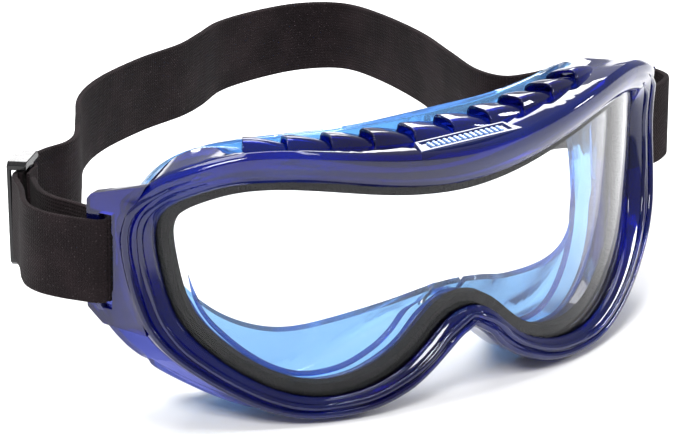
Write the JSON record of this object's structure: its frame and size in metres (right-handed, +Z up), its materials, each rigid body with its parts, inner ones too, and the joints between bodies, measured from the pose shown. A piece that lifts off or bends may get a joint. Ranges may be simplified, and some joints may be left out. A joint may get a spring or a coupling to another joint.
{
  "type": "safety goggles",
  "caption": "Wrap-around safety goggles with a curved double lens in a ribbed translucent frame, a soft face skirt, hooded vents and an elastic head strap with a slider.",
  "frame": {"origin": "on the floor, under the middle of the whole object, strap included", "axes": "+X across the goggles, towards the side without the slider; the lens faces -Y; +Z up"},
  "size_m": [0.1743, 0.1559, 0.0668],
  "materials": {
    "frame": "glossy, translucent",
    "skirt": "clear, soft",
    "lens": "clear",
    "gasket": "matte foam",
    "plate": "glossy",
    "webbing": "knitted elastic",
    "slider": "glossy",
    "stitching": "thread"
  },
  "bodies": {
    "goggles": {"front_frame": "frame", "face_skirt": "skirt", "outer_lens": "lens", "inner_lens": "lens", "lens_gasket": "gasket", "brow_plate": "plate", "brow_ridges": "plate", "vent_hood_01": "frame", "vent_hood_02": "frame", "vent_hood_03": "frame", "vent_hood_04": "frame", "vent_hood_05": "frame", "vent_hood_06": "frame", "vent_hood_07": "frame", "vent_hood_08": "frame", "vent_hood_09": "frame", "vent_hood_10": "frame", "strap_loop_left": "webbing", "strap_loop_right": "webbing"},
    "strap": {"strap_band": "webbing", "strap_return_left": "webbing", "strap_return_right": "webbing"},
    "slider": {"slider": "slider", "strap_sewn_end": "webbing", "bar_tack_left": "stitching"}
  },
  "joints": [
    {"name": "strap_tilt", "type": "hinge", "parent": "goggles", "child": "strap", "pos_m": [-0.0009, -0.03815, 0.03879], "axis": [1, 0, 0], "range_deg": [-10, 25]},
    {"name": "slider_slide", "type": "slide", "parent": "strap", "child": "slider", "axis": [0.7431, 0.6683, -0.0339], "range_m": [0, 0.005]}
  ]
}
